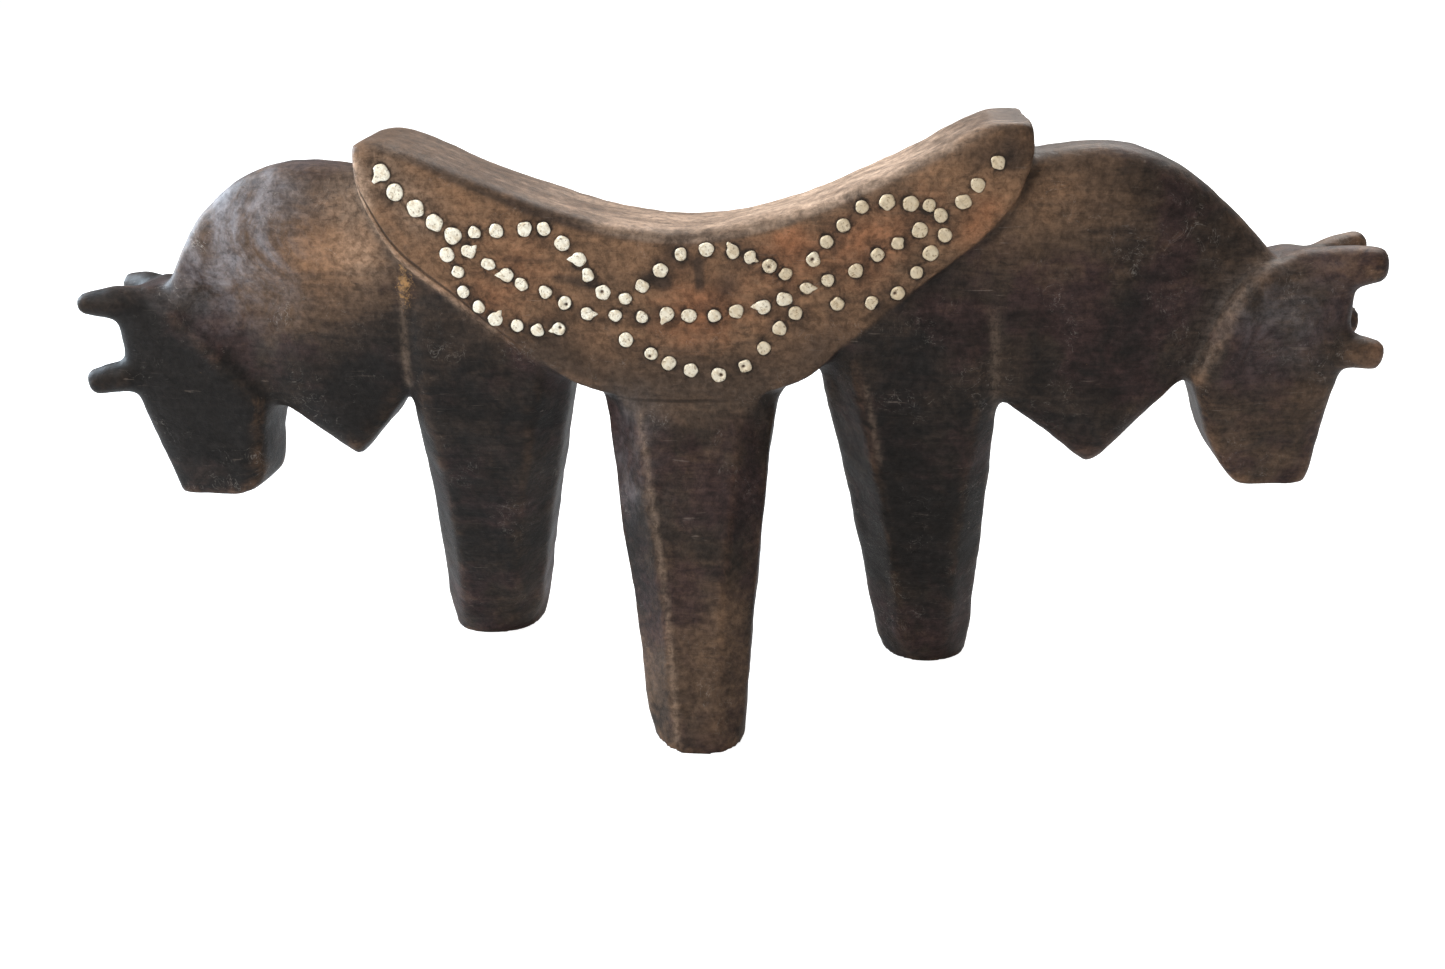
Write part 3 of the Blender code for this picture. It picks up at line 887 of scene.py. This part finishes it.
# Grease round the plugs, the groove, the raw spot and the pores.
gap = f.plus(f.attribute("to_plug"), f.swing(fine, 2.4))
ring = f.times(f.ramp(gap, 1.1, 0.1), f.ramp(mottle, 0.34, 0.56, 0.35, 0.9))
colour = f.mix(ring, colour, GREASE)
smudge = f.times(f.ramp(gap, 6.5, 0.2), f.ramp(mottle, 0.40, 0.58))
colour = f.mix(f.times(smudge, 0.7), colour, SMOKED)
wander = f.plus(f.attribute("to_rim"), f.swing(broad, 3.0))
from_groove = f.math("ABSOLUTE", f.math("SUBTRACT", wander, GROOVE_RISE))
groove = f.ramp(from_groove, 0.75, 0.1)
groove = f.times(groove, f.attribute("rim_fade"))
groove = f.times(groove, f.ramp(fine, 0.35, 0.55, 0.3, 1.0))
colour = f.mix(f.times(groove, 0.75), colour, GREASE)
flake = f.noise(place, 0.9, 5, 0.75, 0.5)
raw_here = f.plus(f.attribute("raw_spot"), f.swing(flake, 3.0))
colour = f.mix(f.ramp(raw_here, 0.5, 1.1, 0, 0.75), colour, RAW)
colour = f.mix(f.times(pore, 0.4), colour, GREASE)
speckle = f.times(
    f.ramp(fine, 0.28, 0.72, 0.56, 1.5), f.ramp(grain, 0.3, 0.7, 0.86, 1.14)
)
colour = f.mix(1.0, colour, speckle, "MULTIPLY")
f.feed(surface.inputs["Base Color"], colour)

rough = f.plus(0.38, f.times(mottle, 0.22))
rough = f.math("SUBTRACT", rough, f.times(worn_here, 0.08))
f.feed(surface.inputs["Roughness"], rough)
surface.inputs["Specular IOR Level"].default_value = 0.13

height = f.times(grain, 0.3)
height = f.plus(height, f.times(mottle, 0.6))
height = f.plus(height, f.times(fine, 0.30))
height = f.math("SUBTRACT", height, f.times(pore, 0.15))
height = f.math("SUBTRACT", height, f.times(groove, 0.8))
bump = f.node("ShaderNodeBump")
bump.inputs["Strength"].default_value = 1.0
bump.inputs["Distance"].default_value = WOOD_RELIEF
f.feed(bump.inputs["Height"], height)
f.feed(surface.inputs["Normal"], bump.outputs[0])
block_mesh.materials.clear()
block_mesh.materials.append(wood)


# Plugs ----------------------------------------------------------------------------------
# Short ends of soft white metal wire, driven into drilled holes and hammered flat. No two
# heads are alike: some have a tail where the cutter tore them, some a pit in the middle.
CHAINS = {
    "left_tail": 5, "left_loop_top": 8, "left_loop_bottom": 8, "middle": 21,
    "right_loop_top": 8, "right_loop_bottom": 6, "right_tail": 3,
}
LARGE = "left_tail"
# The angle of each tail, in degrees from the right.
TAILS = {
    "left_tail_plug_1": 225, "left_loop_top_plug_6": 180, "middle_plug_1": 35,
    "middle_plug_3": 180, "middle_plug_7": 0, "left_loop_bottom_plug_5": 55,
    "left_loop_bottom_plug_8": 195, "middle_plug_10": 240, "middle_plug_16": 0,
    "middle_plug_14": 180, "middle_loop_plug_12": 330, "middle_loop_plug_13": 120,
}
PITTED = (
    "left_loop_top_plug_8", "middle_plug_6", "left_loop_bottom_plug_8",
    "right_loop_top_plug_1", "right_loop_bottom_plug_4", "middle_loop_plug_2",
    "middle_loop_plug_5", "middle_loop_plug_6",
)
LARGE_RADII, SMALL_RADII = (2.6, 2.85), (1.95, 2.45)
AROUND = 28
# How high a head stands, how far its footing reaches, which share of the wood there may stand
# before it, how deep it is bedded, and how near its own hole is.
PROUD = 0.55
FOOTING = 2.6
FOREMOST = 0.25
BEDDED = 0.05
OWN_HOLE = 1.5
# Rows of a head from its middle over the rim to the middle of its underside: the share of its
# radius and of its height over the wood.
ROW_SHARE = [0.0, 0.22, 0.42, 0.6, 0.76, 0.88, 0.96, 1.0, 0.985, 0.9, 0.0]
ROW_LIFT = [1.0, 0.99, 0.97, 0.93, 0.85, 0.7, 0.48, 0.18, -0.3, -1.5, -1.6]
# Sizes by the radius, but for the tail's width, which is an angle in radians.
WAVE_HEIGHT = 0.085
TAIL_LENGTH, TAIL_WIDTH = 0.75, 0.26
PIT_WIDTH, PIT_DEPTH = 0.34, 1.1
DEEP_PIT = 0.9


def plug_head(centre, radius, draw, tail=None, pit=0.0):
    """Rings of one flattened head, from its middle over the rim to the middle of its
    underside. Its outline is a circle bent by four slow waves, with a tail like a bell curve
    at one angle, and its top is a low dome with dents."""
    angle = np.linspace(0, 2 * np.pi, AROUND, endpoint=False)
    waves = sum(
        draw.normal() * WAVE_HEIGHT / turn**0.8 * np.cos(turn * angle + draw.uniform(0, 2 * np.pi))
        for turn in (2, 3, 4, 5)
    )
    outline = radius * (1 + waves)
    if tail is not None:
        away = np.angle(np.exp(1j * (angle - np.radians(tail))))
        outline += radius * TAIL_LENGTH * np.exp(-((away / TAIL_WIDTH) ** 2))
    share = np.array(ROW_SHARE)[:, None]
    lift = np.array(ROW_LIFT)[:, None]
    across = share * outline * np.cos(angle)
    up = share * outline * np.sin(angle)
    start = draw.uniform(0, 6, 3)
    dents = np.sin(across * 1.5 + start[0]) * np.sin(up * 1.4 + start[1])
    dents = dents * 0.16 + 0.08 * np.sin(across * 3.1 + up * 2.3 + start[2])
    spot = draw.normal(0, 0.25 * radius, 2)
    from_spot = (across - spot[0]) ** 2 + (up - spot[1]) ** 2
    hollow = np.exp(-from_spot / (PIT_WIDTH * radius) ** 2)
    top = lift > 0
    rise = PROUD * (lift + np.where(top, lift * (dents - pit * PIT_DEPTH * hollow), 0))
    rings = np.stack([centre[0] + across, centre[1] - rise, centre[2] + up], axis=-1)
    return rings, np.where(top, pit * hollow, 0) + 0.75 * (lift < 0.3)


def front_at(across, up):
    """Where the seat's front is: near the foremost of the wood within a head's footing of the
    point, so that no head sinks in where the face curves away at the rim."""
    near = np.hypot(block[:, 0] - across, block[:, 2] - up) < FOOTING
    return np.quantile(block[near & (block[:, 1] < NEAR_FACE), 1], FOREMOST)


def plug_mesh(name, rings, stains, tint):
    """A closed mesh of the head, with its stains and its tint kept for the metal."""
    points, faces = shells([rings[1:-1]])
    points[-2], points[-1] = rings[0, 0], rings[-1, 0]
    mesh = mesh_from(name, points, faces)
    stain = np.concatenate([stains[1:-1].ravel(), [stains[0, 0], 0]])
    keep(mesh, "stain", stain)
    keep(mesh, "tint", np.full(len(points), tint))
    mesh.shade_smooth()
    return mesh


# The metal's colours, and how deep its relief is in metres.
WHITE_METAL_AND_HIGHLIGHT = (0.92, 0.87, 0.73)
CREAM_METAL = (0.61, 0.51, 0.36)
YELLOWED = (0.55, 0.43, 0.27)
SPECKS = (0.20, 0.13, 0.07)
DIRT = (0.07, 0.035, 0.018)
METAL_RELIEF = 0.0002

metal, f, surface = material("hammered_white_metal")
place = f.place()
cloud = f.noise(place, 0.6, 5, 0.6)
speck = f.noise(place, 1.3, 4, 0.6)
# White where the window's light catches the heads on the left, a painted highlight; cream, the
# metal's own colour, on the right.
colour = f.mix(f.attribute("tint"), WHITE_METAL_AND_HIGHLIGHT, CREAM_METAL)
colour = f.mix(f.ramp(cloud, 0.42, 0.64, 0, 0.55), colour, YELLOWED)
colour = f.mix(f.ramp(speck, 0.55, 0.66, 0, 0.7), colour, SPECKS)
colour = f.mix(f.ramp(f.attribute("stain"), 0.25, 0.8), colour, DIRT)
f.feed(surface.inputs["Base Color"], colour)
surface.inputs["Metallic"].default_value = 0.4
f.feed(surface.inputs["Roughness"], f.ramp(cloud, 0.3, 0.7, 0.38, 0.58))
bump = f.node("ShaderNodeBump")
bump.inputs["Distance"].default_value = METAL_RELIEF
f.feed(bump.inputs["Height"], f.plus(cloud, f.times(speck, 0.4)))
f.feed(surface.inputs["Normal"], bump.outputs[0])

draw = np.random.default_rng(12)


def set_plug(name, across, up, node=None):
    """Makes one head in front of its hole and fixes it to the block. The metal turns from
    white on the left, a painted highlight of the window's light, to its own cream on the right."""
    radius = draw.uniform(*(LARGE_RADII if name.startswith(LARGE) else SMALL_RADII))
    pit = DEEP_PIT if name in PITTED else max(0.0, draw.normal(0.05, 0.2))
    tint = np.clip(0.5 + across / 90 + draw.normal(0, 0.12), 0, 1)
    centre = (across, front_at(across, up) + BEDDED, up)
    rings, stains = plug_head(centre, radius, draw, TAILS.get(name), pit)
    mesh = plug_mesh(name + "_head", rings, stains, tint)
    mesh.materials.append(metal)
    plug = show(name + "_head", mesh)
    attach(plug, "root")
    if node:
        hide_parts(node)


taken = []
for chain, count in CHAINS.items():
    for number in range(1, count + 1):
        node = f"{chain}_plug_{number}"
        low, high = np.array(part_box(node)) / MM
        middle = (low + high) / 2
        set_plug(node, middle[0], middle[2], node)
        taken.append(middle[[0, 2]])

# The holes that no node stands in are the centre loop's; their heads go round it in order.
gaps = np.linalg.norm(sockets[:, None] - np.array(taken)[None], axis=-1).min(axis=1)
free = sockets[gaps > OWN_HOLE]
out_across, out_up = (free - free.mean(axis=0)).T
order = np.argsort(np.arctan2(out_up, out_across))
for number, (across, up) in enumerate(free[order], 1):
    set_plug(f"middle_loop_plug_{number}", across, up)


# Studio ---------------------------------------------------------------------------------
# A pale floor and soft light: a cool window on the left, a broad warm lamp above and behind
# and a weaker one in front on the left. Lengths of the studio are in metres.
FLOOR_HALF = 9.0
FLOOR_SHINE = 0.78
SKY_LIGHT, SKY_SHINE = 0.42, 0.7


def studio_floor():
    """A wide square floor. The camera sees it shine a little, and the shine lights nothing."""
    mesh = bpy.data.meshes.new("floor")
    corners = [(-1, -1, 0), (1, -1, 0), (1, 1, 0), (-1, 1, 0)]
    mesh.from_pydata((np.array(corners) * FLOOR_HALF).tolist(), [], [(0, 1, 2, 3)])
    floor = show("floor", mesh)
    made, f, surface = material("pale_floor")
    surface.inputs["Base Color"].default_value = (0.55, 0.55, 0.55, 1)
    surface.inputs["Roughness"].default_value = 1.0
    surface.inputs["Specular IOR Level"].default_value = 0.0
    surface.inputs["Emission Color"].default_value = (1.0, 1.0, 1.0, 1)
    seen = f.node("ShaderNodeLightPath").outputs["Is Camera Ray"]
    f.feed(surface.inputs["Emission Strength"], f.times(seen, FLOOR_SHINE))
    mesh.materials.append(made)


studio_floor()

world = bpy.data.worlds.new("studio")
bpy.context.scene.world = world
world.use_nodes = True
sky = world.node_tree.nodes["Background"]
sky.inputs["Color"].default_value = (1.0, 1.0, 1.0, 1)
sky_light = Finish(world.node_tree)
seen = sky_light.node("ShaderNodeLightPath").outputs["Is Camera Ray"]
strength = sky_light.plus(SKY_LIGHT, sky_light.times(seen, SKY_SHINE))
sky_light.feed(sky.inputs["Strength"], strength)


def lamp(name, place, aim, size, power, colour):
    """A square soft light at a place, turned to shine at the aim."""
    light = bpy.data.lights.new(name, "AREA")
    light.shape = "SQUARE"
    light.size = size
    light.energy = power
    light.color = colour
    obj = bpy.data.objects.new(name, light)
    bpy.context.scene.collection.objects.link(obj)
    away = Vector(place) - Vector(aim)
    turn = away.to_track_quat("Z", "Y").to_matrix().to_4x4()
    obj.matrix_world = Matrix.Translation(place) @ turn


lamp("window", (-1.2, 0.25, 0.55), (-0.1, 0, 0.14), 0.8, 34, (0.74, 0.87, 1.0))
lamp("ceiling", (0.4, 0.8, 1.2), (0, 0, 0.14), 1.0, 30, (1.0, 0.97, 0.94))
lamp("front", (-0.9, -1.1, 1.0), (0, 0, 0.12), 1.0, 19, (1.0, 0.97, 0.93))

# The camera looks a little down from the front. Its place is in millimetres, as are its
# sensor and lens.
VIEW_DOWN, VIEW_TURN, VIEW_ROLL = np.radians([23.6, 6.0, 1.4])
EYE = (48.15, -412.0, 255.0)
SENSOR_WIDTH = 36.0
LENS = 32.3875
ahead = Vector(
    (
        -np.sin(VIEW_TURN) * np.cos(VIEW_DOWN),
        np.cos(VIEW_TURN) * np.cos(VIEW_DOWN),
        -np.sin(VIEW_DOWN),
    )
)
level_right = Vector((np.cos(VIEW_TURN), np.sin(VIEW_TURN), 0.0))
level_up = level_right.cross(ahead)
right = level_right * np.cos(VIEW_ROLL) - level_up * np.sin(VIEW_ROLL)
above = level_right * np.sin(VIEW_ROLL) + level_up * np.cos(VIEW_ROLL)
camera = bpy.data.cameras.new("camera")
camera.sensor_width = SENSOR_WIDTH
camera.sensor_fit = "HORIZONTAL"
camera.lens = LENS
camera.clip_start = 0.01
camera_stand = bpy.data.objects.new("camera", camera)
camera_stand.matrix_world = Matrix.Translation(Vector(EYE) * MM) @ (
    Matrix((right, above, -ahead)).transposed().to_4x4()
)
bpy.context.scene.collection.objects.link(camera_stand)
bpy.context.scene.camera = camera_stand
bpy.context.scene.view_settings.view_transform = "Standard"

bpy.context.view_layer.update()
